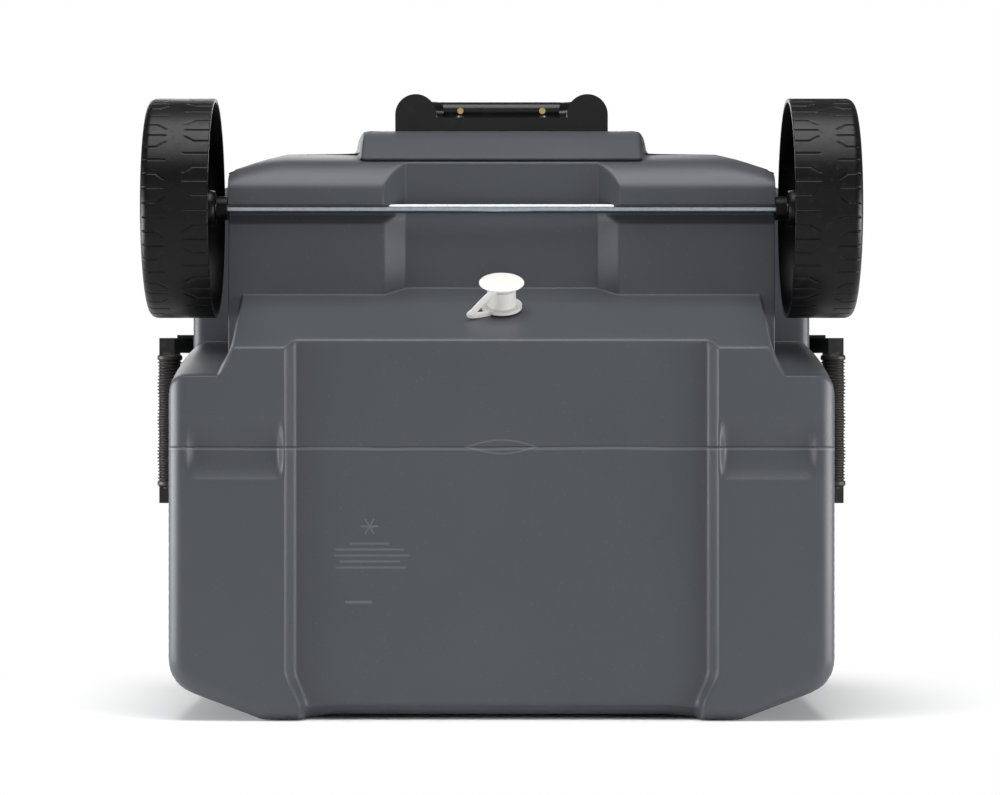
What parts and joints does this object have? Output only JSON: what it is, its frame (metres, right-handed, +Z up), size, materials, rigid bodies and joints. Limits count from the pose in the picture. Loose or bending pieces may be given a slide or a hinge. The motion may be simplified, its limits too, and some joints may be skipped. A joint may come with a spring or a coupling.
{
  "type": "wheeled cooler",
  "caption": "Insulated hard cooler with a hinged lid, wide wheels on a rear axle, a telescoping pull handle, swing-up side handles and a slanted rear drain.",
  "frame": {"origin": "on the floor under the middle of the cooler's bounding box", "axes": "+Z up, X along the axle, +Y from the front face to the pull handle at the back"},
  "size_m": [0.6164, 0.543, 0.4866],
  "materials": {
    "body_grey": "moulded polyethylene, satin with a fine grain",
    "foam": "closed-cell foam",
    "liner_white": "smooth moulded lining",
    "zinc_steel": "zinc plated",
    "wheel_black": "moulded polyethylene, low sheen",
    "black_plastic": "moulded polypropylene",
    "black_rubber": "soft ribbed rubber",
    "drain_white": "smooth moulded plastic",
    "black_tube": "black anodised tube"
  },
  "bodies": {
    "cooler_body": {"outer_shell": "body_grey", "foam_core": "foam", "inner_liner": "liner_white", "axle_rod": "zinc_steel", "axle_push_nuts": "zinc_steel", "axle_spacers": "black_plastic", "drain_spout": "drain_white", "drain_gasket": "black_rubber", "drain_nut": "drain_white", "drain_tether": "drain_white", "handle_lower_bracket": "black_plastic", "handle_upper_bracket": "black_plastic", "bracket_screws": "zinc_steel", "guide_tubes": "black_tube", "left_handle_mount": "black_plastic", "right_handle_mount": "black_plastic", "handle_mount_screws": "zinc_steel", "hinge_body_leaves": "black_plastic", "hinge_pins": "zinc_steel", "hinge_body_screws": "zinc_steel"},
    "lid": {"lid_shell": "body_grey", "lid_foam": "foam", "lid_liner": "liner_white", "lid_gasket": "black_rubber", "hinge_lid_leaves": "black_plastic", "hinge_lid_screws": "zinc_steel"},
    "left_wheel_set": {"left_wheel": "wheel_black", "left_wheel_cover": "wheel_black"},
    "right_wheel_set": {"right_wheel": "wheel_black", "right_wheel_cover": "wheel_black"},
    "left_side_handle": {"left_handle_bail": "black_plastic", "left_handle_pins": "zinc_steel", "left_handle_grip": "black_rubber"},
    "right_side_handle": {"right_handle_bail": "black_plastic", "right_handle_pins": "zinc_steel", "right_handle_grip": "black_rubber"},
    "pull_handle_middle": {"middle_tubes": "black_tube", "middle_collars": "black_plastic"},
    "pull_handle_inner": {"inner_tubes": "black_tube", "handle_yoke": "black_plastic", "grip_sleeve": "black_rubber", "yoke_screws": "zinc_steel", "release_spring": "zinc_steel"},
    "pull_handle_button": {"release_button": "black_plastic"},
    "drain_cap_set": {"drain_cap": "drain_white"}
  },
  "joints": [
    {"name": "lid_hinge", "type": "hinge", "parent": "cooler_body", "child": "lid", "pos_m": [0, 0.205, 0.44], "axis": [1, 0, 0], "range_deg": [-90, 0]},
    {"name": "left_wheel_spin", "type": "hinge", "parent": "cooler_body", "child": "left_wheel_set", "pos_m": [-0.267, 0.1503, 0.092], "axis": [1, 0, 0], "continuous": true},
    {"name": "right_wheel_spin", "type": "hinge", "parent": "cooler_body", "child": "right_wheel_set", "pos_m": [0.267, 0.1503, 0.092], "axis": [1, 0, 0], "continuous": true},
    {"name": "left_handle_swing", "type": "hinge", "parent": "cooler_body", "child": "left_side_handle", "pos_m": [-0.285, -0.029, 0.335], "axis": [0, 1, 0], "range_deg": [0, 105]},
    {"name": "right_handle_swing", "type": "hinge", "parent": "cooler_body", "child": "right_side_handle", "pos_m": [0.285, -0.029, 0.335], "axis": [0, -1, 0], "range_deg": [0, 105]},
    {"name": "pull_handle_lower_stage", "type": "slide", "parent": "cooler_body", "child": "pull_handle_middle", "axis": [0, 0, 1], "range_m": [0, 0.185]},
    {"name": "pull_handle_upper_stage", "type": "slide", "parent": "pull_handle_middle", "child": "pull_handle_inner", "axis": [0, 0, 1], "range_m": [0, 0.185]},
    {"name": "release_button_press", "type": "slide", "parent": "pull_handle_inner", "child": "pull_handle_button", "axis": [0, 0, -1], "range_m": [0, 0.003], "stiffness_N_per_m": 300, "deforming": ["release_spring"]},
    {"name": "drain_cap_pull", "type": "slide", "parent": "cooler_body", "child": "drain_cap_set", "axis": [0, 0.8969, -0.4422], "range_m": [0, 0.018]}
  ]
}
